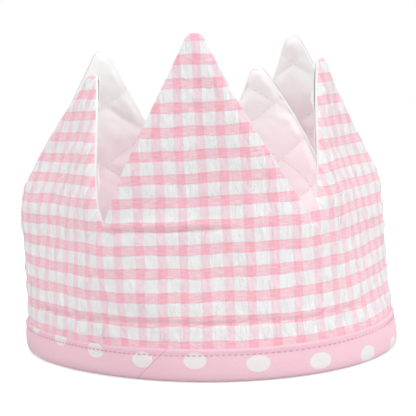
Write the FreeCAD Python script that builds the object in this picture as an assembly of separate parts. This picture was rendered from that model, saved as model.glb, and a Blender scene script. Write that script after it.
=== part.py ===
import FreeCAD, Part
import bisect
import math
import os

# A child's cloth crown: one padded strip with six points along its top edge, wound into
# a ring so that its two ends overlap at the back. The strip is a gingham shell, a wadding
# and a quilted lining, and a folded binding covers its bottom edge.
# Frame: millimetres, +Z up, front towards -Y, floor at z = 0, origin under the ring's middle.

SIZES = [
    ("point_width", 89.6, "one point's share of the strip, valley to valley"),
    ("points_right", 2.5, "widths of point from the middle of the front point to the outer end"),
    ("points_left", 3.5, "widths of point from there to the inner end"),
    ("base_overlap", 30, "how far the strip's ends overlap at the floor"),
    ("rim_overlap", 71.3, "how far they overlap at the valleys"),
    ("tuck_margin", 18.3, "edge of the outer end to where the inner end lies fully inside"),
    ("tuck_run", 40.3, "length over which the inner end turns in"),
    ("end_inside", 2.4, "how much further in the edge of the inner end lies"),
    ("valley_height", 62.8, "floor to the valleys between the points"),
    ("tall_rise", 77.6, "valley level to a tall point's tip, along the cloth"),
    ("short_rise", 67.4, "valley level to a short point's tip, along the cloth"),
    ("tip_radius", 4.0, "rounding of the tips"),
    ("base_oval", 0.014, "share by which the base is wider than deep"),
    ("base_skew", 0.116, "share by which the base is longer from front right to back left"),
    ("base_side", 0.0, "X of the base's middle"),
    ("base_back", 3.8, "Y of the base's middle"),
    ("rim_oval", 0.094, "share by which the rim is wider than deep"),
    ("rim_skew", 0.055, "share by which the rim is longer from front right to back left"),
    ("rim_egg", 0.078, "share by which the rim is fuller at the front and at both back corners"),
    ("rim_side", 1.5, "X of the rim's middle"),
    ("rim_back", 5.7, "Y of the rim's middle"),
    ("corner_depth", 3.7, "how far a corner under a valley stands out, and a flat lies in"),
    ("shell_thick", 1.0, "gingham seersucker"),
    ("wadding_thick", 2.4, "wadding"),
    ("lining_thick", 1.0, "quilted lining"),
    ("binding_thick", 0.8, "folded binding, each side"),
    ("binding_height", 13.2, "floor to the binding's edge"),
    ("edge_roll", 1.8, "lining and wadding that show past the shell along the points"),
    ("thread_thick", 0.35, "height of the stitches above the binding"),
    ("thread_width", 0.7, "width of the stitches"),
    ("stitch_drop", 2.4, "binding's edge to the row of stitches"),
    ("ends_gap", 3.4, "between the inner end and the outer end that lies over it"),
    ("tape_thick", 0.95, "hook tape and loop tape, each"),
    ("tape_length", 26.0, "length of the tapes along the strip"),
    ("tape_height", 22.0, "height of the tapes"),
    ("tape_floor", 24.0, "floor to the lower edge of the tapes"),
    ("tape_inset", 6.0, "outer end of the strip to the tapes"),
    ("lean_back", 22.0, "lean of the point at the inner end, degrees towards the middle"),
    ("lean_left_back", 10.8, "lean of the left back point"),
    ("lean_left_front", 16.4, "lean of the left front point"),
    ("lean_front", 2.9, "lean of the front point"),
    ("lean_right_front", 11.0, "lean of the right front point"),
    ("lean_right_back", 9.2, "lean of the point at the outer end"),
    ("slant_back", -7.7, "slant of the point at the inner end along the strip, degrees"),
    ("slant_left_back", -0.4, "slant of the left back point"),
    ("slant_left_front", 8.4, "slant of the left front point"),
    ("slant_front", 0.1, "slant of the front point"),
    ("slant_right_front", 1.5, "slant of the right front point"),
    ("slant_right_back", -5.9, "slant of the point at the outer end"),
]

# The points from the inner end to the outer end, with the word for each in the sheet.
POINTS = ["back", "left_back", "left_front", "front", "right_front", "right_back"]
TALL_POINTS = ["left_back", "front", "right_back"]

STATIONS_PER_POINT = 8
OUTLINE_STEPS = 720
# Half the length over which the strip's direction is taken.
NEAR = 0.5
# A point is cut from a block that reaches past its tip, below its foot and through the wall.
CUT_PAST_TIP = 20.0
CUT_BELOW = 15.0
CUT_THROUGH = 60.0

doc = FreeCAD.newDocument("cloth_crown")
sheet = doc.addObject("Spreadsheet::Sheet", "sizes")
for row, (word, value, note) in enumerate(SIZES, start=1):
    sheet.set("A%d" % row, word)
    sheet.set("B%d" % row, "%g" % value)
    sheet.setAlias("B%d" % row, word)
    sheet.set("C%d" % row, note)
doc.recompute()


def size(word):
    """A driving dimension from the sheet."""
    return float(sheet.get(word))


wall_thick = size("shell_thick") + size("wadding_thick") + size("lining_thick")
face_out = wall_thick / 2
face_in = -wall_thick / 2
shell_in = face_out - size("shell_thick")
lining_out = face_in + size("lining_thick")
width = size("point_width")
inner_end = -size("points_left") * width
strip_length = (size("points_left") + size("points_right")) * width
outer_end = inner_end + strip_length
# The inner end lies inside the outer end by a whole wall and the gap between them.
tuck_depth = wall_thick + size("ends_gap")


def smooth(share):
    """A soft step from 0 to 1."""
    share = min(max(share, 0.0), 1.0)
    return share * share * (3 - 2 * share)


def closed_outline(radius, oval, skew, egg):
    """A closed oval as a table: length from its front, and the place there."""
    lengths = [0.0]
    places = []
    for step in range(-OUTLINE_STEPS, OUTLINE_STEPS + 1):
        turn = 2 * math.pi * step / OUTLINE_STEPS
        shape = 1 - oval * math.cos(2 * turn) + skew * math.sin(2 * turn) + egg * math.cos(3 * turn)
        reach = radius * shape
        places.append((reach * math.sin(turn), -reach * math.cos(turn)))
        if len(places) > 1:
            lengths.append(lengths[-1] + math.dist(places[-2], places[-1]))
    front = lengths[OUTLINE_STEPS]
    return [length - front for length in lengths], places


def ring_length(outline):
    """The length once round a closed oval, whose table goes round it twice."""
    lengths = outline[0]
    return (lengths[-1] - lengths[0]) / 2


def along_outline(outline, length):
    """The place on a closed oval at a length from its front."""
    lengths, places = outline
    after = min(max(bisect.bisect(lengths, length), 1), len(lengths) - 1)
    share = (length - lengths[after - 1]) / (lengths[after] - lengths[after - 1])
    start, end = places[after - 1], places[after]
    return start[0] + share * (end[0] - start[0]), start[1] + share * (end[1] - start[1])


def inward_shift(length, corner):
    """How far the strip lies inside the oval: flats, corners and the tucked inner end."""
    place = length / width
    flat = corner if place < -3 else corner * math.cos(2 * math.pi * place)
    tuck_starts = inner_end + size("rim_overlap") + size("tuck_margin") + size("tuck_run")
    tucked = smooth((tuck_starts - length) / size("tuck_run"))
    last_half = max(0.0, 2 * (0.5 - size("points_left") - place))
    return flat + tuck_depth * tucked + size("end_inside") * last_half


def level(outline, corner, middle, length):
    """The strip's middle on one level, at a length along the strip."""
    before = along_outline(outline, length - 2 * NEAR)
    after = along_outline(outline, length + 2 * NEAR)
    run = math.dist(before, after)
    out = ((after[1] - before[1]) / run, (before[0] - after[0]) / run)
    here = along_outline(outline, length)
    shift = inward_shift(length, corner)
    return here[0] + middle[0] - shift * out[0], here[1] + middle[1] - shift * out[1]


def fitted_outline(overlap, oval, skew, egg):
    """The closed oval that leaves the strip's ends a given overlap."""
    unit_length = ring_length(closed_outline(1.0, oval, skew, egg))
    return closed_outline((strip_length - overlap) / unit_length, oval, skew, egg)


base_outline = fitted_outline(size("base_overlap"), size("base_oval"), size("base_skew"), 0.0)
rim_outline = fitted_outline(size("rim_overlap"), size("rim_oval"), size("rim_skew"), size("rim_egg"))


def base_middle(length):
    """The strip's middle on the floor, a plain oval."""
    return level(base_outline, 0.0, (size("base_side"), size("base_back")), length)


def rim_middle(length):
    """The strip's middle at the valleys, with a corner under each of them."""
    return level(rim_outline, size("corner_depth"), (size("rim_side"), size("rim_back")), length)


def offset_place(middle, length, depth):
    """A place at a depth from the strip's middle, outwards positive."""
    before = middle(length - NEAR)
    after = middle(length + NEAR)
    run = math.dist(before, after)
    here = middle(length)
    return here[0] + depth * (after[1] - before[1]) / run, here[1] + depth * (before[0] - after[0]) / run


def wall_place(length, depth, height):
    """A place in the wall: along the strip, through its thickness and up."""
    share = height / size("valley_height")
    low = offset_place(base_middle, length, depth)
    top = offset_place(rim_middle, length, depth)
    return FreeCAD.Vector(
        low[0] + share * (top[0] - low[0]),
        low[1] + share * (top[1] - low[1]),
        height,
    )


def wall_curve(depth, height):
    """A smooth curve along the whole strip, with the length along it as its parameter."""
    count = len(POINTS) * STATIONS_PER_POINT
    lengths = [inner_end + strip_length * (step / count) for step in range(count + 1)]
    curve = Part.BSplineCurve()
    curve.interpolate(
        Points=[wall_place(length, depth, height) for length in lengths],
        Parameters=lengths,
    )
    return curve


def section(outer, inner, start, end):
    """The closed outline of a layer on one level."""
    outer_edge = outer.toShape(start, end)
    inner_edge = inner.toShape(start, end)
    first = Part.makeLine(inner.value(start), outer.value(start))
    last = Part.makeLine(outer.value(end), inner.value(end))
    return Part.Wire([outer_edge, last, inner_edge, first])


def wall_block(depth_in, depth_out, low, high, start=inner_end, end=outer_end):
    """A solid that follows the wall between two depths, two heights and two lengths."""
    wires = []
    for height in (low, high):
        outer = wall_curve(depth_out, height)
        inner = wall_curve(depth_in, height)
        wires.append(section(outer, inner, start, end))
    return Part.makeLoft(wires, True, True)


def point_outline(half, rise, slant, radius, inset):
    """A point's outline, rounded at the tip, as places along the strip and up the cloth."""
    apex_rise = rise
    for _ in range(8):
        half_angle = math.atan2(half, apex_rise)
        apex_rise = rise + radius * (1 / math.sin(half_angle) - 1)
    apex_rise = apex_rise - inset / math.sin(half_angle)
    foot = half - inset / math.cos(half_angle)
    tangent = radius / math.tan(half_angle)
    side = math.hypot(foot, apex_rise)
    near = (foot * tangent / side, apex_rise * (1 - tangent / side))
    top = apex_rise - radius * (1 / math.sin(half_angle) - 1)

    def slanted(place):
        return place[0] + slant * place[1], place[1]

    return [slanted(place) for place in ((-foot, 0), (-near[0], near[1]), (0, top), near, (foot, 0))]


def point_solid(order, depth_in, depth_out, inset):
    """One point of a layer, standing on the wall at the valleys' level."""
    word = POINTS[order]
    lean = math.radians(size("lean_" + word))
    slant = math.tan(math.radians(size("slant_" + word)))
    rise = size("tall_rise") if word in TALL_POINTS else size("short_rise")
    start = inner_end + strip_length * (order / len(POINTS))
    end = inner_end + strip_length * ((order + 1) / len(POINTS))
    floor = size("valley_height")
    outer = wall_curve(depth_out, floor)
    inner = wall_curve(depth_in, floor)
    first = wall_place(start, 0, floor)
    last = wall_place(end, 0, floor)
    chord = last - first
    half = chord.Length / 2
    middle = (first + last) / 2
    chord.normalize()
    inward = FreeCAD.Vector(-chord.y, chord.x, 0)
    upward = FreeCAD.Vector(0, 0, math.cos(lean)) + inward * math.sin(lean)
    across = chord.cross(upward)
    reach = rise + CUT_PAST_TIP
    prism = Part.Face(section(outer, inner, start, end)).extrude((upward + chord * slant) * reach)

    def placed(place):
        return middle + chord * place[0] + upward * place[1]

    corners = [placed(place) for place in point_outline(half, rise, slant, size("tip_radius"), inset)]
    drop = upward * -CUT_BELOW
    edges = [
        Part.makeLine(corners[0], corners[1]),
        Part.Arc(corners[1], corners[2], corners[3]).toShape(),
        Part.makeLine(corners[3], corners[4]),
        Part.makeLine(corners[4], corners[4] + drop),
        Part.makeLine(corners[4] + drop, corners[0] + drop),
        Part.makeLine(corners[0] + drop, corners[0]),
    ]
    blade = Part.Face(Part.Wire(edges))
    blade.translate(across * (-CUT_THROUGH / 2))
    return prism.common(blade.extrude(across * CUT_THROUGH))


def layer(depth_in, depth_out, inset):
    """A whole layer of the strip: the wall up to the valleys with its points on it."""
    wall = wall_block(depth_in, depth_out, size("binding_thick"), size("valley_height"))
    points = [point_solid(order, depth_in, depth_out, inset) for order in range(len(POINTS))]
    return wall.multiFuse(points)


def binding():
    """The binding: two sides and the fold under the strip's bottom edge."""
    thick = size("binding_thick")
    high = size("binding_height")
    under = wall_block(face_in - thick, face_out + thick, 0, thick)
    outer_side = wall_block(face_out, face_out + thick, thick, high)
    inner_side = wall_block(face_in - thick, face_in, thick, high)
    return under.multiFuse([outer_side, inner_side])


def stitch_row(side):
    """One thread's row of stitches on one side of the binding."""
    surface = face_out + size("binding_thick")
    top = size("binding_height") - size("stitch_drop")
    low = top - size("thread_width")
    outside = surface + size("thread_thick")
    if side > 0:
        return wall_block(surface, outside, low, top)
    return wall_block(-outside, -surface, low, top)


def loop_tape():
    """The tape on the inner face of the outer end."""
    end = outer_end - size("tape_inset")
    low = size("tape_floor")
    return wall_block(
        face_in - size("tape_thick"), face_in, low, low + size("tape_height"), end - size("tape_length"), end
    )


def hook_tape():
    """The tape on the outer face of the inner end, under the other tape."""
    low = size("tape_floor")
    share = (low + size("tape_height") / 2) / size("valley_height")
    once_round = (1 - share) * ring_length(base_outline) + share * ring_length(rim_outline)
    end = outer_end - size("tape_inset") - once_round
    start = end - size("tape_length")
    return wall_block(face_out, face_out + size("tape_thick"), low, low + size("tape_height"), start, end)


SUB_PARTS = [
    ("gingham_shell", lambda: layer(shell_in, face_out, size("edge_roll"))),
    ("wadding", lambda: layer(lining_out, shell_in, 0.0)),
    ("quilted_lining", lambda: layer(face_in, lining_out, 0.0)),
    ("brim_binding", binding),
    ("topstitch_outside", lambda: stitch_row(1)),
    ("topstitch_inside", lambda: stitch_row(-1)),
    ("closure_loop_tape", loop_tape),
    ("closure_hook_tape", hook_tape),
]

features = []
for name, make in SUB_PARTS:
    feature = doc.addObject("Part::Feature", name)
    feature.Label = name
    feature.Shape = make()
    feature.Placement = FreeCAD.Placement()
    features.append(feature)
doc.recompute()

for item in doc.Objects:
    if "Invalid" in item.State or "Error" in item.State:
        raise RuntimeError("%s failed: %s" % (item.Label, item.State))
for feature in features:
    if feature.Shape.isNull() or not feature.Shape.isValid():
        raise RuntimeError("%s has no valid shape" % feature.Label)

os.makedirs("parts", exist_ok=True)
for feature in features:
    box = feature.Shape.BoundBox
    print(
        "%s: %d solid(s), %.1f cm3, x %.1f..%.1f y %.1f..%.1f z %.1f..%.1f"
        % (
            feature.Label, len(feature.Shape.Solids), feature.Shape.Volume / 1000,
            box.XMin, box.XMax, box.YMin, box.YMax, box.ZMin, box.ZMax,
        )
    )
    feature.Shape.exportStep("parts/%s.step" % feature.Label)
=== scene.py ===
# %% [markdown]
# # A quilted cloth crown
# The object is a child's dress-up crown: one long strip with six points, wound into a ring.
# Outside is pink gingham seersucker, inside a white quilted lining, between them wadding.
# A dotted binding is folded over the lower edge and sewn down with one row of stitches.
# Each cell makes one piece or one finish, and says why it is made that way.

import bmesh
import bpy
import math
import numpy as np
from mathutils import Matrix, Vector


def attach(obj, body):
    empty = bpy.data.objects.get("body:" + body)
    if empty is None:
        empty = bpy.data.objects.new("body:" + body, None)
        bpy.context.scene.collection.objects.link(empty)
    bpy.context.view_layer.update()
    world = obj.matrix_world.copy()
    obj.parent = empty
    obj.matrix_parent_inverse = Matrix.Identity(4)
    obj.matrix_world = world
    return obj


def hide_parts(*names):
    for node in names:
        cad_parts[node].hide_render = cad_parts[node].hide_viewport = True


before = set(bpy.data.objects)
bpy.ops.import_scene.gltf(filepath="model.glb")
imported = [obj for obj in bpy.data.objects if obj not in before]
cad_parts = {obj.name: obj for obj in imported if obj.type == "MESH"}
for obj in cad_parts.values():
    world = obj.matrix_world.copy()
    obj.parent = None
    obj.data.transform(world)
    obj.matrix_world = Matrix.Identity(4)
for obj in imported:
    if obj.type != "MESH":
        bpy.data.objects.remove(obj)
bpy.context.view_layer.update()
print("solids:", sorted(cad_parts))

# %% [markdown]
# ## The strip's sizes
# The real crown is cut flat, so its sizes are those of a strip: how wide a point is, how high
# the valleys between the points lie, how thick the layers are together. The plan of the ring is
# an oval on the floor and another one at the valleys, and the wall runs straight from one to
# the other. Everything is in millimetres here, and turned to metres when a mesh is made.

# %% Sizes of the strip
MM = 0.001
POINT_WIDTH = 89.6
INNER_END = -3.5 * POINT_WIDTH
OUTER_END = 2.5 * POINT_WIDTH
VALLEY = 62.8
TIP_RADIUS = 5.2
VALLEY_HALF_ANGLE = math.radians(30)
HALF_WALL = 2.2
print("the strip is %.1f mm long" % (OUTER_END - INNER_END))

# %% Sizes of the ring
# size: the oval's radius, and oval, skew and egg: how it differs from a circle. corner: how much
# further in the valleys lie than the points' middles. side and back: where the oval's middle is.
BASE = {"size": 79.7, "oval": 0.014, "skew": 0.116, "egg": 0.0, "corner": 0.0, "side": 0.0, "back": 3.8}
RIM = {"size": 72.4, "oval": 0.094, "skew": 0.055, "egg": 0.078, "corner": 3.7, "side": 1.5, "back": 5.7}
LEVELS = {"base": BASE, "rim": RIM}

# The inner end is tucked under the outer one. Its tuck starts and ends at these counts of points
# from the front, and its last few millimetres turn a little further in.
TUCK_STARTS = 2.05
TUCK_ENDS = 2.5
TUCK_DEPTH = 2 * HALF_WALL + 3.4
END_INSIDE = 2.4

# %% The six points
# rise: along the cloth from the valleys to the tip. lean: radians towards the middle at the
# foot, and curl: how much more at the tip. slant: shift along the strip for each millimetre up.
# bow: how far the sides stand out at half height, on the side of the inner end and on the other.
POINTS = [
    {"name": "back", "rise": 68.6, "lean": 0.34, "curl": 0.10, "slant": -0.10, "bow": (0.3, -2.6)},
    {"name": "left_back", "rise": 76.6, "lean": 0.227, "curl": -0.073, "slant": -0.007, "bow": (1.0, -0.4)},
    {"name": "left_front", "rise": 66.8, "lean": 0.264, "curl": 0.048, "slant": 0.147, "bow": (0.9, 0.9)},
    {"name": "front", "rise": 78.0, "lean": 0.016, "curl": 0.065, "slant": 0.001, "bow": (0.8, -1.4)},
    {"name": "right_front", "rise": 66.6, "lean": 0.299, "curl": -0.238, "slant": 0.027, "bow": (-0.4, -1.2)},
    {"name": "right_back", "rise": 78.2, "lean": 0.097, "curl": 0.123, "slant": -0.103, "bow": (-0.6, -3.6)},
]
print("points:", ", ".join(point["name"] for point in POINTS))

# %% [markdown]
# ## The wall's plan
# An oval given by its radius at each angle is easy to write, but cloth is measured along its
# length. So each oval is walked once in small steps, and a table turns a length along the
# strip into a place on it. The strip's inner end is tucked inside the outer one.

# %% Walking the ovals
def smooth(share):
    """A soft step from 0 to 1."""
    share = np.clip(share, 0.0, 1.0)
    return share * share * (3 - 2 * share)


def walk(level):
    """Lengths from the front and the places there, twice round one level's oval."""
    turn = np.linspace(-2 * np.pi, 2 * np.pi, 2881)
    shape = 1 - level["oval"] * np.cos(2 * turn) + level["skew"] * np.sin(2 * turn)
    reach = level["size"] * (shape + level["egg"] * np.cos(3 * turn))
    x, y = reach * np.sin(turn), -reach * np.cos(turn)
    lengths = np.concatenate([[0], np.cumsum(np.hypot(np.diff(x), np.diff(y)))])
    return lengths - np.interp(0, turn, lengths), x, y


WALKS = {name: walk(level) for name, level in LEVELS.items()}
for name, (lengths, _, _) in WALKS.items():
    print("once round the %s is %.1f mm" % (name, (lengths[-1] - lengths[0]) / 2))


# %% Places along the strip
def oval_place(level, along):
    """Where a length along the strip falls on one oval."""
    lengths, x, y = WALKS[level]
    return np.stack([np.interp(along, lengths, x), np.interp(along, lengths, y)])


def tucked_in(along, corner):
    """How far inside the oval the strip's middle lies."""
    place = along / POINT_WIDTH
    flat = np.where(place < -3, corner, corner * np.cos(2 * np.pi * place))
    tuck = TUCK_DEPTH * smooth((-place - TUCK_STARTS) / (TUCK_ENDS - TUCK_STARTS))
    last = END_INSIDE * np.maximum(0.0, 2 * (-3 - place))
    return flat + tuck + last


def middle_of(level, along):
    """The strip's middle on one level."""
    size = LEVELS[level]
    run = oval_place(level, along + 1) - oval_place(level, along - 1)
    run = run / np.hypot(run[0], run[1])
    out = np.stack([run[1], -run[0]])
    centre = np.array([size["side"], size["back"]]).reshape((2,) + (1,) * np.ndim(along))
    return oval_place(level, along) + centre - tucked_in(along, size["corner"]) * out


def level_place(level, along, depth):
    """A place on one level, at a depth outwards from the strip's middle."""
    along = np.asarray(along, float)
    run = middle_of(level, along + 0.5) - middle_of(level, along - 0.5)
    run = run / np.hypot(run[0], run[1])
    return middle_of(level, along) + depth * np.stack([run[1], -run[0]])


def wall_place(along, height, depth):
    """A place in the wall below the valleys."""
    share = height / VALLEY
    low, top = level_place("base", along, depth), level_place("rim", along, depth)
    flat = low + share * (top - low)
    return np.stack([flat[0], flat[1], height + 0 * flat[0]], axis=-1)


# %% [markdown]
# ## The points
# A point goes on from the wall at its valley level and then turns to its own lean over the
# first few millimetres, because cloth doesn't fold there by itself. It could be bent with a
# modifier, but each one leans, curls and slants a little differently, and that is what makes a
# sewn crown look soft. So one function places any spot of the cloth, and every layer calls it.

# %% How a point stands
TURN_IN = 14.0
CURL_HEIGHT = 75


def point_frame(order):
    """The direction along a point's foot, and the one towards the middle of the ring."""
    start = INNER_END + order * POINT_WIDTH
    ends = level_place("rim", np.array([start, start + POINT_WIDTH]), 0)
    chord = ends[:, 1] - ends[:, 0]
    chord = chord / np.hypot(*chord)
    return chord, np.array([-chord[1], chord[0]])


def mean_over(values):
    """The mean of values taken at even steps, the last axis, by trapezoids."""
    return (values[..., 1:] + values[..., :-1]).mean(axis=-1) / 2


def leaned(point, up):
    """How far in and how far up a place in a point gets, along its bent cloth."""
    heights = up[..., None] * np.linspace(0, 1, 25)
    turned = smooth(heights / TURN_IN)
    make_up = point["rise"] / (point["rise"] - TURN_IN / 2)
    lean = (point["lean"] + point["curl"] * heights / CURL_HEIGHT) * make_up
    inner = mean_over(turned * np.sin(lean)) * up
    rise = mean_over(1 - turned * (1 - np.cos(lean))) * up
    return inner, rise


def cloth_place(order, along, above, depth):
    """A place in the cloth of one point or under it: above counts from the valleys."""
    along = np.asarray(along, float)
    above = np.asarray(above, float)
    place = wall_place(along, VALLEY + np.minimum(above, 0), depth)
    chord, inward = point_frame(order)
    up = np.maximum(above, 0)
    inner, rise = leaned(POINTS[order], up)
    slope = (level_place("rim", along, depth) - level_place("base", along, depth)) / VALLEY
    shift = slope * (np.minimum(up, TURN_IN) - np.minimum(up, TURN_IN) ** 2 / (2 * TURN_IN))
    slant = POINTS[order]["slant"] * up
    place[..., 0] += shift[0] + inward[0] * inner + chord[0] * slant
    place[..., 1] += shift[1] + inward[1] * inner + chord[1] * slant
    place[..., 2] += rise
    return place


# %% A point's outline
# Its sides are straight lines that bow a little, and its tip is a round. The line and the round
# meet where they touch, and a few rounds of the same two steps find that place.
def foot_of(inset):
    """Where an outline that lies further in meets its neighbour, above the valleys."""
    return -inset / math.sin(VALLEY_HALF_ANGLE)


def half_width(order, side, above, inset=0.0):
    """Half the width of a point at a height above the valleys, on one side of its middle."""
    point = POINTS[order]
    foot = foot_of(inset)
    centre = point["rise"] - inset - TIP_RADIUS
    slope = math.atan2(POINT_WIDTH / 2, centre - foot)
    for _ in range(6):
        edge = TIP_RADIUS * math.cos(slope)
        slope = math.atan2(POINT_WIDTH / 2 - edge, centre + TIP_RADIUS * math.sin(slope) - foot)
    tangent = centre + TIP_RADIUS * math.sin(slope)
    edge = TIP_RADIUS * math.cos(slope)
    share = np.clip((above - foot) / (tangent - foot), 0, 1)
    line = POINT_WIDTH / 2 + (edge - POINT_WIDTH / 2) * share
    line = line + point["bow"][0 if side < 0 else 1] * np.sin(np.pi * share)
    cap = np.sqrt(np.clip(TIP_RADIUS**2 - (above - centre) ** 2, 0, None))
    return np.where(above > tangent, cap, line)


# %% [markdown]
# ## Soft random numbers
# Puckers and puffs need a noise that is the same on every run. A small table of random
# numbers, read with a soft step between its entries, is enough, and it is quick in numpy.

# %% Noise
TABLE = np.random.default_rng(7).random((8, 128, 128))


def noise(x, y, layer=0):
    """Soft noise between -1 and 1 with one bump per unit."""
    left, low = np.floor(x).astype(int), np.floor(y).astype(int)
    across, up = smooth(x - left), smooth(y - low)
    table = TABLE[layer]
    a, b = table[left % 128, low % 128], table[(left + 1) % 128, low % 128]
    c, d = table[left % 128, (low + 1) % 128], table[(left + 1) % 128, (low + 1) % 128]
    return 2 * ((a * (1 - across) + b * across) * (1 - up) + (c * (1 - across) + d * across) * up) - 1


# %% [markdown]
# ## Grids of cloth
# Cloth could be simulated, but this one is sewn to its padding and doesn't hang, so its folds
# are placed by formula on a fine grid, which gives the same crown on each run. The strip is
# meshed point by point: straight rows in the wall, then rows that narrow to the tip.
# Neighbours share their edge in the wall and are welded there. Each vertex keeps its place in
# the cloth, and a UV map carries it to the material, in checks.

# %% Meshes from places
def new_piece(name, points, faces, maps=None):
    """A smooth-shaded object from millimetre places, with a UV map where one is given."""
    mesh = bpy.data.meshes.new(name)
    mesh.from_pydata((np.asarray(points) * MM).tolist(), [], faces)
    if maps is not None:
        layer = mesh.uv_layers.new(name="cloth")
        corner = np.empty(len(mesh.loops), dtype=np.int32)
        mesh.loops.foreach_get("vertex_index", corner)
        layer.data.foreach_set("uv", np.asarray(maps, np.float32)[corner].ravel())
    mesh.polygons.foreach_set("use_smooth", [True] * len(mesh.polygons))
    mesh.update()
    piece = bpy.data.objects.new(name, mesh)
    bpy.context.scene.collection.objects.link(piece)
    print("%s: %d faces" % (name, len(mesh.polygons)))
    return piece


def welded(piece, distance):
    """Joins vertices in the same place and turns all faces the same way out."""
    mesh = piece.data
    mesh.validate()
    work = bmesh.new()
    work.from_mesh(mesh)
    bmesh.ops.remove_doubles(work, verts=work.verts, dist=distance)
    bmesh.ops.recalc_face_normals(work, faces=work.faces)
    work.to_mesh(mesh)
    work.free()
    mesh.polygons.foreach_set("use_smooth", [True] * len(mesh.polygons))
    mesh.update()
    return piece


def grid_faces(tall, wide, first=0):
    """The four-sided faces of a grid of vertices that starts at a number."""
    index = np.arange(tall * wide).reshape(tall, wide) + first
    corners = np.stack([index[:-1, :-1], index[:-1, 1:], index[1:, 1:], index[1:, :-1]], -1)
    return corners.reshape(-1, 4).tolist()


# %% Building a cloth grid
CHECK_WIDE = 9.3
CHECK_HIGH = 9.65
# Columns lie closer together near a point's sides: 0 would space them evenly, 0.5 the most.
EDGE_PACKING = 0.4
# The sides slant, so the distance to them is a little less than the distance along the row.
EDGE_SLOPE = 0.9
CAP_ROWS = 9
WELD_SAME = 1e-5


def point_rows(order, low, rows_low, rows_up, inset):
    """Heights of the rows of one point's grid, closer together at the tip."""
    foot = foot_of(inset)
    below = np.linspace(low - VALLEY, foot, rows_low + 1)
    top = POINTS[order]["rise"] - inset
    bend = top - 1.5 * TIP_RADIUS
    straight = np.linspace(foot, bend, rows_up - CAP_ROWS + 1)[1:]
    cap = top - (top - bend) * (1 - np.linspace(0, 1, CAP_ROWS + 1)[1:]) ** 2
    return np.concatenate([below, straight, cap])


def edge_distance(order, along, rows, half, sides, inset):
    """How far each place lies from the cloth's edge."""
    foot = foot_of(inset)
    edge = EDGE_SLOPE * half * (1 - np.abs(sides))
    in_point = np.minimum(edge, POINTS[order]["rise"] - inset - rows)
    edge = np.where(rows > foot, in_point, np.hypot(edge, foot - rows))
    return np.minimum(edge, np.minimum(along - INNER_END, OUTER_END - along)) + inset


def cloth_grid(name, columns, rows_low, rows_up, low, inset, depth_of):
    """A mesh of the whole strip; depth_of says how far out the cloth lies at each place."""
    points, faces, maps = [], [], []
    spread = np.linspace(-EDGE_PACKING * np.pi, EDGE_PACKING * np.pi, columns + 1)
    sides = (np.sin(spread) / math.sin(EDGE_PACKING * math.pi))[None, :]
    for order in range(len(POINTS)):
        rows = point_rows(order, low, rows_low, rows_up, inset)[:, None] + 0 * sides
        half = np.where(sides < 0, half_width(order, -1, rows, inset), half_width(order, 1, rows, inset))
        along = INNER_END + (order + 0.5) * POINT_WIDTH + half * sides
        edge = edge_distance(order, along, rows, half, sides, inset)
        places = cloth_place(order, along, rows, depth_of(order, along, rows, edge))
        faces += grid_faces(*rows.shape, first=order * rows.size)
        points.append(places.reshape(-1, 3))
        maps.append(np.stack([along / CHECK_WIDE, (VALLEY + rows) / CHECK_HIGH], -1).reshape(-1, 2))
    return welded(new_piece(name, np.concatenate(points), faces, np.concatenate(maps)), WELD_SAME)


# %% [markdown]
# ## Gingham seersucker, the outside
# Seersucker is woven with some threads slack, so the white bands pucker and the pink ones lie
# flatter. At this size the puckers are real shape: short upright wrinkles a few millimetres
# apart, strongest in the white rows. A bump map alone would leave the outline smooth, so the
# larger ones are in the mesh and only the finest are in the material.

# %% Wrinkles of the gingham
BINDING_HIGH = 13.2
ROW_START = 14.13
PUCKER = 0.62
GATHER = 0.35
THREADS = 0.10
ROW_PUFF = 0.05
HELD_AT_EDGE = 3.0


def row_phase(above):
    """Place within a check's row: 0 in the middle of a pink row, 0.5 in a white one."""
    rows = (VALLEY + above - ROW_START) / CHECK_HIGH
    return np.abs(rows - np.round(rows))


def wrinkles(along, above):
    """Puckers of the white rows, fine ridges of the pink ones, and gathers above the binding."""
    white = smooth((row_phase(above) - 0.17) / 0.12)
    across = along + 1.5 * noise(along / 16, above / 12, 1)
    fine = noise(across / 1.7, above / 6.5, 0) + 0.5 * noise(across / 1.1, above / 4.0, 2)
    near_sides = 0.65 + 0.45 * smooth((np.abs(along) - 25) / 30)
    pucker = PUCKER * fine * (0.32 + 0.68 * white) * near_sides
    threads = THREADS * noise(along / 9, above / 0.9, 3) * (1 - white)
    low = VALLEY + above
    gather = GATHER * noise(along / 3.4, low / 14, 6) * smooth((30 - low) / 16)
    return pucker + threads + ROW_PUFF * white + gather


# %% [markdown]
# ## Creases
# Three creases are pressed into the front: one through the second row above the binding, one
# under the row at the valleys, and a small dart at the left valley. Each is a narrow dip whose
# depth falls off as a bell curve, and it fades out towards its ends.

# %% Creases of the gingham
LOW_CREASE = 23.0
LOW_CREASE_DEEP = 0.9
VALLEY_CREASE_DEEP = 1.1
VALLEY_CREASE_SWELL = 0.8
LEFT_VALLEY = -45
DART_DEEP = 0.5


def bell(distance, width):
    """1 at no distance, and close to 0 from two widths on."""
    return np.exp(-((distance / width) ** 2))


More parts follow.
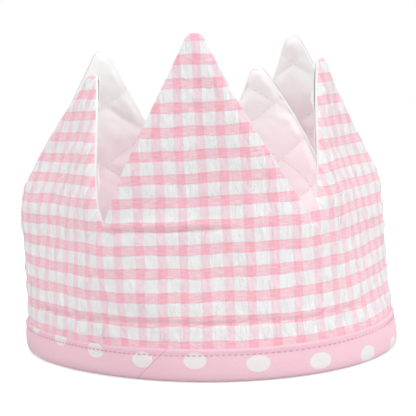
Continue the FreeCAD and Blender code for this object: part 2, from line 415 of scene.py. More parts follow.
def creases(along, above):
    """How far out the pressed folds bring the cloth; a dip is below 0."""
    wander = 0.5 * noise(along / 20, 0 * along, 3)
    low = -LOW_CREASE_DEEP * bell(VALLEY + above - LOW_CREASE - wander, 0.75)
    low = low * smooth((100 - np.abs(along + 15)) / 25)
    line = above + 1.9 + 0.012 * (along - LEFT_VALLEY)
    fade = smooth((along - LEFT_VALLEY + 2) / 4) * smooth((22 - along) / 26)
    valley = (VALLEY_CREASE_SWELL * bell(line - 2.4, 1.6) - VALLEY_CREASE_DEEP * bell(line, 0.8)) * fade
    dart = bell(above + 1.5 - 0.55 * (along - LEFT_VALLEY + 2), 0.7)
    dart = dart * smooth((along - LEFT_VALLEY + 15) / 8) * smooth((LEFT_VALLEY + 0.2 - along) / 2)
    return low + valley - DART_DEEP * dart


# %% The outer cloth
# Near its edge the gingham is turned in over the padding, down to the lining's rolled edge.
EDGE_ROLL = 1.1
ROLL_MIDDLE = -0.2
CLOTH_DEPTH = HALF_WALL - 0.15
CLOTH_INSET = 0.04
TURNED_WIDE = 4.5
ABOVE_ROLL = 0.08


def turned_in(edge):
    """How far in the gingham lies near its edge, where it wraps the roll."""
    slope = (CLOTH_DEPTH - EDGE_ROLL - ROLL_MIDDLE - ABOVE_ROLL) * (1 - smooth(edge / TURNED_WIDE))
    return slope + EDGE_ROLL - np.sqrt(EDGE_ROLL**2 - np.clip(EDGE_ROLL - edge, 0, EDGE_ROLL) ** 2)


def outer_depth(order, along, above, edge):
    """How far out the gingham lies."""
    tight = smooth((VALLEY + above - BINDING_HIGH + 3) / 5)
    shape = wrinkles(along, above) * tight * smooth((edge - 0.5) / HELD_AT_EDGE)
    swell = 0.7 * noise(along / 34, above / 26, 4) + 0.3 * noise(along / 15, above / 13, 5)
    return CLOTH_DEPTH + shape + swell * tight * smooth(edge / 9) + creases(along, above) - turned_in(edge)


shell = cloth_grid("gingham_cloth", 116, 66, 76, 9.0, CLOTH_INSET, outer_depth)

# %% [markdown]
# ## Quilted lining, the inside
# White cotton is quilted to the wadding in diamonds, so it swells between the lines and dips
# along them. The lining is the same grid, seen from inside, with its puffs towards the middle
# of the ring. Two families of slanting lines make the diamonds, and the distance to the nearest
# line gives the height of the puff.

# %% The lining
DIAMOND_WIDE = 48.0
DIAMOND_HIGH = 31.0
# The lines that rise to the left and those that rise to the right, and where each family starts.
QUILT_SHIFTS = {1: 0.18, -1: 0.36}
PUFF = 2.9
LINING_TURNED = 6.0


def quilt_lines(along, above):
    """Distance in millimetres to the nearest quilting line, and how deep in a diamond it is."""
    gap = 1 / math.hypot(1 / DIAMOND_WIDE, 1 / DIAMOND_HIGH)
    away = []
    for sign, shift in QUILT_SHIFTS.items():
        line = along / DIAMOND_WIDE + sign * above / DIAMOND_HIGH + shift
        away.append(np.abs(line - np.round(line)))
    return np.minimum(*away) * gap, 4 * away[0] * away[1]


def inner_depth(order, along, above, edge):
    """How far in the lining lies, as a depth from the wall's middle."""
    near, deep = quilt_lines(along, above)
    puff = PUFF * (1 - np.exp(-near / 5.0)) + 0.3 * np.sqrt(np.clip(deep, 0, 1))
    wrinkle = 0.45 * noise(along / 5, above / 4, 2) + 0.3 * noise(along / 11 + above / 9, above / 14, 6)
    tight = smooth((VALLEY + above - BINDING_HIGH + 2) / 6) * smooth(edge / 5.0)
    at_roll = EDGE_ROLL - ROLL_MIDDLE - 0.06
    falls = (HALF_WALL - 0.5 - EDGE_ROLL + ROLL_MIDDLE) * smooth((edge - EDGE_ROLL) / LINING_TURNED)
    return -at_roll - falls - (puff + wrinkle * smooth(near / 2.5)) * tight


lining = cloth_grid("quilted_lining_cloth", 96, 44, 60, 9.0, EDGE_ROLL, inner_depth)

# %% [markdown]
# ## The rolled edge
# Along the points the lining is rolled round the padding to the front, and shows there as a
# thin white line. A curve with a bevel would twist at the tips, so a short profile is swept by
# hand along the outline: at each place it has the wall's own direction and the one out of it.

# %% The outline's path
def outline_path():
    """The strip's outline from the foot of the inner end, over the points, to the outer end."""
    heights = np.linspace(10.0 - VALLEY, 0, 30)[:-1]
    path = [(0, INNER_END, above) for above in heights]
    for order in range(len(POINTS)):
        above = point_rows(order, VALLEY, 1, 90, 0.0)[1:]
        middle = INNER_END + (order + 0.5) * POINT_WIDTH
        left = middle - half_width(order, -1, above)
        right = middle + half_width(order, 1, above)
        path += [(order, along, height) for along, height in zip(left, above)]
        path += [(order, along, height) for along, height in zip(right[::-1], above[::-1])][1:]
    path += [(len(POINTS) - 1, OUTER_END, above) for above in heights[::-1]]
    return path


def edge_profile():
    """The roll's section: how far out of the wall's edge, and how far to the front."""
    back = ROLL_MIDDLE - EDGE_ROLL
    profile = [(-1.9, back + 0.3), (-1.5, back + 0.08)]
    for turn in np.linspace(-90, 40, 10):
        bend = math.radians(turn)
        profile.append((EDGE_ROLL * (math.cos(bend) - 1) - 0.1, ROLL_MIDDLE + EDGE_ROLL * math.sin(bend)))
    profile.append((-1.2, ROLL_MIDDLE + 0.4 * EDGE_ROLL))
    return profile


# %% Sweeping the roll
def unit(vectors):
    """The same directions with a length of 1."""
    return vectors / np.linalg.norm(vectors, axis=1)[:, None]


def rolled_edge():
    """The lining's edge, rolled round the wadding along the whole outline."""
    sides = np.array([
        [cloth_place(order, along, above, depth) for depth in (-HALF_WALL, HALF_WALL)]
        for order, along, above in outline_path()
    ])
    middle = sides.mean(axis=1)
    thick = unit(sides[:, 1] - sides[:, 0])
    beyond = unit(np.cross(thick, unit(np.gradient(middle, axis=0))))
    length = np.concatenate([[0], np.cumsum(np.linalg.norm(np.diff(middle, axis=0), axis=1))])
    wave = 1 + 0.12 * noise(length / 7, 0 * length, 5) + 0.06 * noise(length / 2.2, 0 * length, 1)
    rows = np.array([
        middle + beyond * (out * wave)[:, None] + thick * (front * (0.75 + 0.25 * wave))[:, None]
        for out, front in edge_profile()
    ])
    maps = np.stack([np.tile(length / CHECK_WIDE, len(rows)), rows[:, :, 2].ravel() / CHECK_HIGH], -1)
    return welded(new_piece("rolled_edge", rows.reshape(-1, 3), grid_faces(*rows.shape[:2]), maps), 1e-7)


edge_roll = rolled_edge()

# %% [markdown]
# ## Wadding
# The wadding can't be seen, but it is what holds the crown up, so it is here as one closed
# sheet with a thickness, a little smaller than the cloths round it.

# %% The wadding
WADDING_DEPTH = -0.3


def wadding_depth(order, along, above, edge):
    """The wadding lies flat in the wall."""
    return WADDING_DEPTH + 0 * along


wadding = cloth_grid("wadding_sheet", 24, 10, 24, 4.0, HALF_WALL, wadding_depth)
thickness = wadding.modifiers.new("thickness", "SOLIDIFY")
thickness.thickness = 1.0 * MM
thickness.offset = 0

# %% [markdown]
# ## The dotted binding
# A bias strip is folded over the raw edge, so its section is a deep U: a lip, a dip where the
# stitches pull it in, a soft belly and a rounded fold underneath. The section is drawn once as
# a few places and swept along the strip. Near the stitches it is gathered in small ripples.

# %% The binding's section
BINDING_THICK = 0.8
OUT = HALF_WALL + BINDING_THICK
# Depth from the wall's middle and height, from the outer lip down to the middle of the fold.
HALF_SECTION = [
    (HALF_WALL - 0.7, BINDING_HIGH - 0.6), (HALF_WALL + 0.25, BINDING_HIGH),
    (OUT + 0.10, BINDING_HIGH - 0.25), (OUT + 0.28, BINDING_HIGH - 1.2),
    (OUT + 0.02, BINDING_HIGH - 2.3), (OUT + 0.10, BINDING_HIGH - 3.2),
    (OUT + 0.40, BINDING_HIGH - 5.2), (OUT + 0.50, 5.0), (OUT + 0.35, 2.6),
    (OUT - 0.15, 1.1), (OUT - 1.1, 0.25), (OUT - 2.2, 0.0), (0.0, 0.0),
]
SECTION_STEPS = 66


def smooth_line(run, value, lengths):
    """Values along a smooth curve through a few places."""
    slope = np.gradient(value, run)
    place = np.clip(np.searchsorted(run, lengths, side="right") - 1, 0, len(run) - 2)
    step = run[place + 1] - run[place]
    t = (lengths - run[place]) / step
    before = (2 * t**3 - 3 * t**2 + 1) * value[place] + (t**3 - 2 * t**2 + t) * step * slope[place]
    after = (3 * t**2 - 2 * t**3) * value[place + 1] + (t**3 - t**2) * step * slope[place + 1]
    return before + after


def binding_section():
    """The whole section: depth, height, and length along it from the outer lip."""
    corners = np.array(HALF_SECTION + [(-depth, height) for depth, height in HALF_SECTION[-2::-1]])
    run = np.concatenate([[0], np.cumsum(np.hypot(*np.diff(corners, axis=0).T))])
    lengths = np.linspace(0, run[-1], SECTION_STEPS + 1)
    depth = smooth_line(run, corners[:, 0], lengths)
    return depth, np.maximum(smooth_line(run, corners[:, 1], lengths), 0.0), lengths


print("the binding was %.1f mm wide before folding" % binding_section()[2][-1])

# %% Sweeping the binding
STITCH_STEP = 2.4
BINDING_STEPS = 619
PAST_END = 0.3
BINDING_UV = 100


def binding_folds(along, down):
    """Ripples by the stitches, soft waves and the pull of each stitch, as a depth outwards."""
    ripple = 0.16 * noise(along / 2.3 + down * 0.35, down / 3.0, 0) * bell(down - 4.2, 3.0)
    soft = 0.22 * noise(along / 17, down / 7, 4) * smooth(down / 3) * smooth((15 - down) / 6)
    pull = -0.10 * bell(down - 2.9, 1.6) * (0.5 + 0.5 * np.cos(2 * np.pi * along / STITCH_STEP))
    return ripple + soft + pull


def binding():
    """The binding swept along the strip, closed at both ends."""
    depth, height, lengths = binding_section()
    along = np.linspace(INNER_END - PAST_END, OUTER_END + PAST_END, BINDING_STEPS + 1)
    grid_along = along[None, :] + 0 * depth[:, None]
    down = np.minimum(lengths, lengths[-1] - lengths)[:, None]
    outward = np.where(depth[:, None] >= 0, 1.0, -1.0)
    grid_depth = depth[:, None] + outward * binding_folds(grid_along, down)
    lip = 0.25 * noise(along / 12, 0 * along, 2)[None, :] * smooth((3.0 - down) / 3.0)
    grid_height = np.maximum(height[:, None] + lip, 0.0)
    places = np.array([wall_place(along, grid_height[row], grid_depth[row]) for row in range(len(depth))])
    tall, wide = grid_along.shape
    first = np.arange(tall) * wide
    faces = grid_faces(tall, wide) + [first.tolist(), (first[::-1] + wide - 1).tolist()]
    maps = np.stack([grid_along, np.tile(lengths[:, None], (1, wide))], -1).reshape(-1, 2) / BINDING_UV
    return new_piece("dotted_binding", places.reshape(-1, 3), faces, maps)


binding_piece = binding()

# %% [markdown]
# ## Stitches
# A sewing machine leaves one short thread on the cloth for every stitch, with a gap where it
# dives. Each stitch is a small capsule: a ring of places round a line, pinched at both ends.
# One function makes all of them as a single mesh, from a list of their two ends.

# %% Stitches from their ends
# Each ring of a capsule: its share of the stitch, its width and how much it is lifted.
CAPSULE = [(0.0, 0.25, 0.0), (0.15, 0.9, 0.5), (0.5, 1.0, 1.0), (0.85, 0.9, 0.5), (1.0, 0.25, 0.0)]
AROUND = 6


def stitches(name, starts, ends, radius, outwards):
    """A mesh of capsules between pairs of places, lifted a little in the middle."""
    points, faces = [], []
    for start, end, out in zip(starts, ends, outwards):
        side = np.cross(end - start, out)
        side /= np.linalg.norm(side)
        base = len(points)
        for share, wide, lift in CAPSULE:
            centre = start + (end - start) * share + out * radius * (0.5 * lift - 0.2)
            for step in range(AROUND):
                turn = 2 * math.pi * step / AROUND
                points.append(centre + radius * wide * (math.cos(turn) * side + math.sin(turn) * out))
        for ring in range(len(CAPSULE) - 1):
            row = base + ring * AROUND
            for step in range(AROUND):
                a, b = row + step, row + (step + 1) % AROUND
                faces.append((a, b, b + AROUND, a + AROUND))
    return welded(new_piece(name, points, faces), 1e-9)


# %% The stitch rows through the binding
STITCH_LONG = 1.65
STITCH_RADIUS = 0.30
FIRST_STITCH = 3


def topstitch(name, side):
    """The row of stitches through the binding, on its outer or inner face."""
    count = int((OUTER_END - INNER_END - 2 * FIRST_STITCH) / STITCH_STEP)
    first = INNER_END + FIRST_STITCH + STITCH_STEP * np.arange(count)
    height = BINDING_HIGH - 2.45 + 0.1 * noise(first / 9, 0 * first, 6)
    depth = side * (OUT - 0.02)
    start = wall_place(first, height, depth)
    end = wall_place(first + STITCH_LONG, height, depth)
    out = unit(wall_place(first, height, depth + side) - start)
    return stitches(name, start, end, STITCH_RADIUS, out)


topstitch_out = topstitch("topstitch_outer_row", 1)
topstitch_in = topstitch("topstitch_inner_row", -1)

# %% [markdown]
# ## Quilting stitches
# The lining's diamonds are sewn with longer stitches and wider gaps between them. They follow
# the same two families of lines as the dips, so they always lie in them, just above the cloth.

# %% Stitches of the diamonds
QUILT_STEP = 3.6 / math.hypot(1, DIAMOND_WIDE / DIAMOND_HIGH)
QUILT_STITCH_SHARE = 0.62
QUILT_LIFT = 0.28
QUILT_RADIUS = 0.22
QUILT_STARTS = -46.0
INSIDE_CLOTH = 20.0


def quilt_spots(order, sign, shift, line):
    """Where the stitches of one line start, within one point and the wall under it."""
    middle = INNER_END + (order + 0.5) * POINT_WIDTH
    above = np.arange(QUILT_STARTS, POINTS[order]["rise"] - 9, QUILT_STEP)
    along = DIAMOND_WIDE * (line - shift - sign * above / DIAMOND_HIGH)
    half = np.where(above > 0, half_width(order, 1, above) - 5.0, POINT_WIDTH / 2)
    keep = (np.abs(along - middle) < half) & (along > INNER_END + 5) & (along < OUTER_END - 5)
    return along[keep], above[keep]


def on_lining(order, along, above):
    """Places just above the lining's inner face."""
    return cloth_place(order, along, above, inner_depth(order, along, above, INSIDE_CLOTH) - QUILT_LIFT)


def quilting():
    """The stitches of the diamonds, on the lining."""
    starts, ends, outs = [], [], []
    rise = QUILT_STITCH_SHARE * QUILT_STEP
    for order in range(len(POINTS)):
        for sign, shift in QUILT_SHIFTS.items():
            for line in range(-9, 10):
                along, above = quilt_spots(order, sign, shift, line)
                start = on_lining(order, along, above)
                starts.append(start)
                ends.append(on_lining(order, along - sign * rise * DIAMOND_WIDE / DIAMOND_HIGH, above + rise))
                outs.append(unit(start - cloth_place(order, along, above, 0.0)))
    starts, ends, outs = (np.concatenate(rows) for rows in (starts, ends, outs))
    return stitches("quilting_stitches", starts, ends, QUILT_RADIUS, outs)


quilting_thread = quilting()

# %% [markdown]
# ## Colours and nodes
# Colours are written as they look on a screen, as hex values, and turned to the linear values
# that the renderer works with by one function. Node trees get long when each socket is set on
# a line of its own, so short helpers add a node, link its inputs and hand back its result.

# %% Colour helper and nodes
def linear(code):
    """A hex colour as linear red, green, blue and alpha."""
    parts = [int(code[i:i + 2], 16) / 255 for i in (1, 3, 5)]
    return [c / 12.92 if c <= 0.04045 else ((c + 0.055) / 1.055) ** 2.4 for c in parts] + [1.0]


def add(tree, kind, settings=None, **links):
    """Adds a node, sets its properties and links or sets its inputs by name or place."""
    node = tree.nodes.new(kind)
    for key, value in (settings or {}).items():
        setattr(node, key, value)
    for key, value in links.items():
        socket = node.inputs[int(key[1:])] if key[0] == "i" and key[1:].isdigit() else node.inputs[key]
        if isinstance(value, bpy.types.NodeSocket):
            tree.links.new(value, socket)
        else:
            socket.default_value = value
    return node


def math_of(tree, kind, a, b=0.0, c=0.0):
    """The result of one step of arithmetic."""
    return add(tree, "ShaderNodeMath", {"operation": kind}, i0=a, i1=b, i2=c).outputs[0]


def mixed(tree, share, a, b, kind="MIX"):
    """Two colours mixed by a share."""
    node = add(tree, "ShaderNodeMix", {"data_type": "RGBA", "blend_type": kind}, i0=share, i6=a, i7=b)
    return node.outputs[2]


# %% Ramps, bands and speckle
def ramp(tree, value, start, end, kind="SMOOTHSTEP"):
    """0 at the start value, 1 at the end value, soft between them."""
    node = add(tree, "ShaderNodeMapRange", {"interpolation_type": kind}, Value=value)
    node.inputs["From Min"].default_value = start
    node.inputs["From Max"].default_value = end
    return node.outputs[0]


def from_whole(tree, value):
    """How far a value lies from the nearest whole number."""
    return math_of(tree, "ABSOLUTE", math_of(tree, "SUBTRACT", value, math_of(tree, "ROUND", value)))


def band(tree, value, width, soft):
    """1 within half a width of a whole number, 0 elsewhere, with a soft edge."""
    return ramp(tree, from_whole(tree, value), width / 2 + soft, width / 2 - soft)


def speckle(tree, place, scale, detail, stretch=None):
    """Flat noise over the cloth, finer in the direction that is stretched more."""
    if stretch:
        mapping = add(tree, "ShaderNodeMapping", None, Vector=place)
        mapping.inputs["Scale"].default_value = (*stretch, 1.0)
        place = mapping.outputs[0]
    flat = {"noise_dimensions": "2D"}
    return add(tree, "ShaderNodeTexNoise", flat, Vector=place, Scale=scale, Detail=detail).outputs[0]


def bumped(tree, main, height, strength, distance):
    """Gives the surface a fine relief."""
    bump = add(tree, "ShaderNodeBump", None, Height=height, Strength=strength, Distance=distance)
    tree.links.new(bump.outputs[0], main.inputs["Normal"])


# %% A cloth shader
COTTON_IOR = 1.45
COTTON_SPECULAR = 0.25
FUZZ_ROUGHNESS = 0.5


def cloth_material(name, roughness, sheen):
    """A matt cloth shader: its tree, its main node and its UV map's two parts."""
    material = bpy.data.materials.new(name)
    material.use_nodes = True
    tree = material.node_tree
    main = tree.nodes["Principled BSDF"]
    main.inputs["Roughness"].default_value = roughness
    main.inputs["IOR"].default_value = COTTON_IOR
    main.inputs["Specular IOR Level"].default_value = COTTON_SPECULAR
    main.inputs["Sheen Weight"].default_value = sheen
    main.inputs["Sheen Roughness"].default_value = FUZZ_ROUGHNESS
    place = add(tree, "ShaderNodeUVMap", {"uv_map": "cloth"}).outputs[0]
    parts = add(tree, "ShaderNodeSeparateXYZ", i0=place)
    return material, tree, main, place, parts.outputs[0], parts.outputs[1]


# %% [markdown]
# ## Cotton gingham
# Gingham is woven from white and dyed yarn in both directions. Where dyed warp crosses dyed
# weft the colour is full, where one of them crosses white it is paler. Here the rows are
# stronger than the stripes, as in the photograph. Cotton is matt, with a roughness near 0.9,
# and its fuzz brightens it where it is seen at a slant, which the sheen stands for. Slub in
# the yarn gives thin streaks along the rows.

# %% Gingham colours
WHITE_COTTON = "#F4F3F4"
PALE_STRIPE = "#F7DEE6"
PINK_ROW = "#F9DAE2"
PINK_CROSSING = "#FAC4D1"
SLUB_PINK = "#F28FA9"
ROW_EDGE_PINK = "#F3A4B8"
STRIPE_START = 0.55
STRIPE_SHARE = 0.42
ROW_SHARE = 0.44


def check_pattern(tree, place, across, up):
    """The checks' stripes and rows: 1 in a band, and the rows' count."""
    wander = math_of(tree, "SUBTRACT", speckle(tree, place, 0.55, 1.0), 0.5)
    shift = math_of(tree, "MULTIPLY", wander, 0.16)
    stripes = math_of(tree, "SUBTRACT", math_of(tree, "ADD", across, shift), STRIPE_START / CHECK_WIDE)
    rows = math_of(tree, "SUBTRACT", math_of(tree, "ADD", up, shift), ROW_START / CHECK_HIGH)
    return band(tree, stripes, STRIPE_SHARE, 0.025), band(tree, rows, ROW_SHARE, 0.02), rows


# %% Gingham material
SLUB_STRENGTH = 0.32
ROW_EDGE_STRENGTH = 0.08
FOLD_HEIGHT = 4.4


def gingham():
    """Checks, slub along the rows, darker row edges and a bump of weave and fine wrinkles."""
    material, tree, main, place, across, up = cloth_material("cotton_gingham_seersucker", 0.9, 0.55)
    stripe, row, rows = check_pattern(tree, place, across, up)
    flat = mixed(tree, stripe, linear(WHITE_COTTON), linear(PALE_STRIPE))
    pink = mixed(tree, stripe, linear(PINK_ROW), linear(PINK_CROSSING))
    cloth = mixed(tree, row, flat, pink)
    slub = ramp(tree, speckle(tree, place, 1.0, 3.0, (2.2, 26.0)), 0.35, 0.65, "LINEAR")
    slub = math_of(tree, "MULTIPLY", slub, math_of(tree, "MULTIPLY", row, SLUB_STRENGTH))
    cloth = mixed(tree, slub, cloth, linear(SLUB_PINK), "MULTIPLY")
    edge = math_of(tree, "MULTIPLY", row, math_of(tree, "SUBTRACT", 1.0, band(tree, rows, 0.30, 0.04)))
    edge = math_of(tree, "MULTIPLY", edge, ROW_EDGE_STRENGTH)
    cloth = mixed(tree, edge, cloth, linear(ROW_EDGE_PINK), "MULTIPLY")
    tree.links.new(cloth, main.inputs["Base Color"])
    fold = math_of(tree, "SUBTRACT", speckle(tree, place, 1.0, 2.0, (5.5, 1.3)), 0.5)
    loose = math_of(tree, "MULTIPLY_ADD", row, -0.6, 1.0)
    height = math_of(tree, "MULTIPLY", fold, math_of(tree, "MULTIPLY", loose, FOLD_HEIGHT))
    height = math_of(tree, "ADD", height, speckle(tree, place, 1.5, 3.0, (9.0, 14.0)))
    bumped(tree, main, height, 0.7, 0.6 * MM)
    return material


shell.data.materials.append(gingham())
print("checks of %.2f by %.2f mm" % (CHECK_WIDE, CHECK_HIGH))

# %% [markdown]
# ## White quilted cotton
# The lining is plain white cotton. Low down it gets a painted pale pink that stands for light which
# comes through the pink cloth and bounces inside the ring, white at the tips and pink below.
# Thin cotton lets some of the light behind it through, and a painted glow stands for that, most
# of all in the back point, which has the light right behind it.

# %% Lining material
LINING_WHITE = "#F3F3F2"
# A painted pale pink for light bounced inside the ring, and a painted glow for light through the cloth.
PAINTED_BOUNCE_PINK = "#FAECEF"
PAINTED_THROUGH_LIGHT = "#FFF1F3"
PAINTED_GLOW_STRENGTH = 0.22
PAINTED_GLOW_LOW = 0.50
PAINTED_GLOW_BACK = 0.60
PAINTED_BOUNCE_STARTS = 12.5
PAINTED_BOUNCE_FULL = 8.0
BACK_POINT_ENDS = INNER_END + POINT_WIDTH


def lining_cotton(name, painted_light_amount):
    """White cotton with painted bounce pink low down and a painted glow there and in the back point."""
    material, tree, main, place, across, up = cloth_material(name, 0.85, 0.2)
    # Painted bounce light: a pale pink low down, standing for light through the pink cloth.
    share = math_of(tree, "MULTIPLY", ramp(tree, up, PAINTED_BOUNCE_STARTS, PAINTED_BOUNCE_FULL), painted_light_amount)
    tree.links.new(mixed(tree, share, linear(LINING_WHITE), linear(PAINTED_BOUNCE_PINK)), main.inputs["Base Color"])
    # Painted glow: emission standing for light through the thin cotton, in the back point and low down.
    back = ramp(tree, across, (BACK_POINT_ENDS + 4) / CHECK_WIDE, (BACK_POINT_ENDS - 4) / CHECK_WIDE)
    painted_glow_share = math_of(tree, "MULTIPLY_ADD", back, PAINTED_GLOW_BACK, math_of(tree, "MULTIPLY", share, PAINTED_GLOW_LOW))
    painted_glow = mixed(tree, painted_glow_share, linear("#000000"), linear(PAINTED_THROUGH_LIGHT))
    tree.links.new(painted_glow, main.inputs["Emission Color"])
    main.inputs["Emission Strength"].default_value = PAINTED_GLOW_STRENGTH * painted_light_amount
    bumped(tree, main, speckle(tree, place, 16.0, 3.0), 0.25, 0.4 * MM)
    return material


lining.data.materials.append(lining_cotton("white_quilted_cotton", 1.0))
edge_roll.data.materials.append(lining_cotton("white_cotton_edge", 0.0))

# %% [markdown]
# ## Dotted bias cotton
# The binding is a pale pink cotton with white dots, cut on the bias, so its dots drift across
# it and lie wider than they are high. It is two lengths joined by a slanting seam, where the
# pattern doesn't meet. UVs here are in tenths of a metre: along the strip, and round the section.

# %% Dots
DOT_WIDE = 9.3
DOT_HIGH = 6.5
DOT_ROWS = 15.5
# Where a dot lies along the strip and down from the lip, how much lower the next one lies, and
# how far off it is, on both sides of the seam.
RIGHT_DOTS = {"start": 20.4, "first": 7.8, "drift": 1.8, "step": 25.0}
LEFT_DOTS = {"start": -27.4, "first": 6.2, "drift": 1.9, "step": 24.6}


def dot_lattice(tree, along, down, start, first, drift, step):
    """White dots in rows that drift across the binding: 1 in a dot."""
    column = math_of(tree, "DIVIDE", math_of(tree, "SUBTRACT", along, start), step)
    nearest = math_of(tree, "ROUND", column)
    dx = math_of(tree, "MULTIPLY", math_of(tree, "SUBTRACT", column, nearest), step / (DOT_WIDE / 2))
    level = math_of(tree, "MULTIPLY_ADD", nearest, drift, first)
    below = math_of(tree, "DIVIDE", math_of(tree, "SUBTRACT", down, level), DOT_ROWS)
    dy = math_of(tree, "MULTIPLY", from_whole(tree, below), DOT_ROWS / (DOT_HIGH / 2))
    squares = math_of(tree, "ADD", math_of(tree, "POWER", dx, 2.0), math_of(tree, "POWER", dy, 2.0))
    return ramp(tree, math_of(tree, "SQRT", squares), 1.06, 0.96)


# %% Binding material
BINDING_PINK = "#EBC4D0"
DOT_WHITE = "#E8E2E2"
SEAM_PINK = "#D58FA5"
JOIN_FOOT = -30.8
JOIN_LEAN = 1.1
FACE_HIGH = 14.6


def dotted_cotton():
    """Pale pink cotton with dots, and a slanting seam where two lengths of it are joined."""
    material, tree, main, place, across, up = cloth_material("dotted_bias_cotton", 0.85, 0.15)
    along = math_of(tree, "MULTIPLY", across, BINDING_UV)
    down = math_of(tree, "MULTIPLY", up, BINDING_UV)
    right = dot_lattice(tree, along, down, **RIGHT_DOTS)
    left = dot_lattice(tree, along, down, **LEFT_DOTS)
    seam = math_of(tree, "MULTIPLY_ADD", math_of(tree, "SUBTRACT", FACE_HIGH, down), JOIN_LEAN, JOIN_FOOT)
    offset = math_of(tree, "SUBTRACT", along, seam)
    is_right = math_of(tree, "GREATER_THAN", offset, 0.0)
    left = math_of(tree, "MULTIPLY", left, math_of(tree, "SUBTRACT", 1.0, is_right))
    dots = math_of(tree, "ADD", math_of(tree, "MULTIPLY", right, is_right), left)
    cloth = mixed(tree, dots, linear(BINDING_PINK), linear(DOT_WHITE))
    line = ramp(tree, math_of(tree, "ABSOLUTE", offset), 0.42, 0.10)
    crease = math_of(tree, "MULTIPLY", line, math_of(tree, "LESS_THAN", down, FACE_HIGH + 0.9))
    cloth = mixed(tree, math_of(tree, "MULTIPLY", crease, 0.55), cloth, linear(SEAM_PINK))
    tree.links.new(cloth, main.inputs["Base Color"])
    height = speckle(tree, place, 110.0, 3.0)
    height = math_of(tree, "SUBTRACT", height, math_of(tree, "MULTIPLY", crease, 2.0))
    bumped(tree, main, height, 0.3, 0.4 * MM)
    return material


binding_piece.data.materials.append(dotted_cotton())

# %% [markdown]
# ## Thread, wadding and tape
# Sewing thread is polyester, a little glossier than cotton. The tape that holds the ends
# together is white nylon. It lies between the overlapping ends, where little of it can be
# seen, so its solids stay as they are and only get a finish.

# %% Plain materials
def plain(name, colour, roughness):
    """One colour and one roughness, for what is too small or too hidden to show more."""
    material = bpy.data.materials.new(name)
    material.use_nodes = True
    main = material.node_tree.nodes["Principled BSDF"]
    main.inputs["Base Color"].default_value = linear(colour)
    main.inputs["Roughness"].default_value = roughness
    main.inputs["IOR"].default_value = 1.5
    return material


thread = plain("pink_polyester_thread", "#E39FB4", 0.55)
topstitch_out.data.materials.append(thread)
topstitch_in.data.materials.append(thread)
quilting_thread.data.materials.append(plain("white_polyester_thread", "#F1EAEA", 0.55))
wadding.data.materials.append(plain("polyester_wadding", "#F4F4F2", 1.0))
tape = plain("white_nylon_tape", "#F2F1EF", 0.7)
for node in ("closure_hook_tape", "closure_loop_tape"):
    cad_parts[node].data.materials.clear()
    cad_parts[node].data.materials.append(tape)

# %% [markdown]
# ## What each piece stands for
# Every piece rides the one body, the table beside it lists a finish for each, and the solids
# that the pieces stand for are hidden.

# %% Riding and replacing
FINISHES = [
    (shell, "gingham"), (lining, "lining"), (edge_roll, "lining"), (wadding, "wadding"),
    (binding_piece, "binding"), (topstitch_out, "thread"), (topstitch_in, "thread"),
    (quilting_thread, "lining"),
]
for piece, finish in FINISHES:
    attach(piece, "root")
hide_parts("gingham_shell")
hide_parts("quilted_lining")
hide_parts("wadding")
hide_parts("brim_binding")
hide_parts("topstitch_outside")
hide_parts("topstitch_inside")

# %% [markdown]
# ## Floor, light and camera
# The photograph is cut out on white, so the floor and the surroundings are plain and pale. They
# look pure white to the camera only, so they don't flood the crown with light. Lamps could be
# big softboxes, but suns with a wide angle light every side of the ring evenly and still keep
# the folds gentle. The camera stands where the checks and the outline of the crown put it:
# a little over half a metre away, a little above, and looking down a few degrees.

# %% Floor
FLOOR_WHITENING = 0.52
bpy.ops.mesh.primitive_plane_add(size=6, location=(0, 0, -0.2 * MM))
floor = bpy.context.object
floor.name = "floor"
ground = plain("pale_floor", "#CFCFCF", 1.0)
tree = ground.node_tree
seen = add(tree, "ShaderNodeLightPath").outputs["Is Camera Ray"]
main = tree.nodes["Principled BSDF"]
main.inputs["Specular IOR Level"].default_value = 0.0
main.inputs["Emission Color"].default_value = (1.0, 1.0, 1.0, 1.0)
tree.links.new(math_of(tree, "MULTIPLY", seen, FLOOR_WHITENING), main.inputs["Emission Strength"])
floor.data.materials.append(ground)

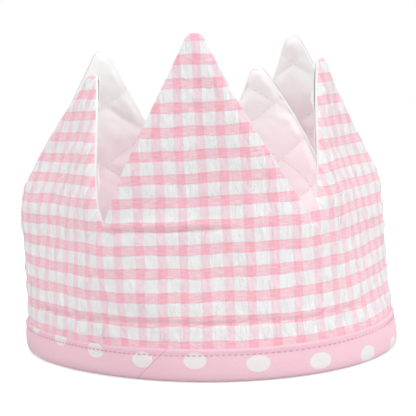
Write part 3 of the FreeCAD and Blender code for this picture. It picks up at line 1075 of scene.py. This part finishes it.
# %% Surroundings
SKY_LIGHT = 0.25
world = bpy.context.scene.world or bpy.data.worlds.new("studio")
bpy.context.scene.world = world
world.use_nodes = True
tree = world.node_tree
sky = tree.nodes["Background"]
sky.inputs[0].default_value = (1.0, 1.0, 1.0, 1.0)
seen = add(tree, "ShaderNodeLightPath").outputs["Is Camera Ray"]
strength = add(tree, "ShaderNodeMapRange", None, Value=seen)
strength.inputs["To Min"].default_value = SKY_LIGHT
strength.inputs["To Max"].default_value = 1.0
tree.links.new(strength.outputs[0], sky.inputs[1])


# %% Lamps
def soft_lamp(name, azimuth, height, angle, power):
    """An even light from far away: azimuth from the front to the right, height, both in degrees."""
    data = bpy.data.lights.new(name, "SUN")
    data.angle = math.radians(angle)
    data.energy = power
    lamp = bpy.data.objects.new(name, data)
    bpy.context.scene.collection.objects.link(lamp)
    turn, up = math.radians(azimuth), math.radians(height)
    towards = Vector((math.sin(turn) * math.cos(up), -math.cos(turn) * math.cos(up), math.sin(up)))
    lamp.location = towards
    lamp.rotation_euler = towards.to_track_quat("Z", "Y").to_euler()


soft_lamp("key_lamp", 72, 18, 40, 1.25)
soft_lamp("front_lamp", -5, 6, 40, 0.95)
soft_lamp("left_lamp", -70, 25, 50, 0.80)
soft_lamp("back_lamp", 165, 30, 60, 1.20)
soft_lamp("top_lamp", 0, 85, 60, 1.7)

# %% Camera
PHOTO_PIXELS = 416
FOCAL_PIXELS = 1219.6
SENSOR = 36
CAMERA_PLACE = (0.0040, -0.5588, 0.1230)
PITCH = 0.108
ROLL = -0.06
camera_data = bpy.data.cameras.new("camera")
camera_data.sensor_width = SENSOR
camera_data.lens = FOCAL_PIXELS / PHOTO_PIXELS * SENSOR
camera_data.clip_start = 0.01
camera = bpy.data.objects.new("camera", camera_data)
bpy.context.scene.collection.objects.link(camera)
looking = Matrix.Rotation(math.pi / 2 - PITCH, 4, "X") @ Matrix.Rotation(ROLL, 4, "Z")
camera.matrix_world = Matrix.Translation(CAMERA_PLACE) @ looking
bpy.context.scene.camera = camera
bpy.context.scene.view_settings.view_transform = "Standard"
print("lens: %.1f mm" % camera_data.lens)
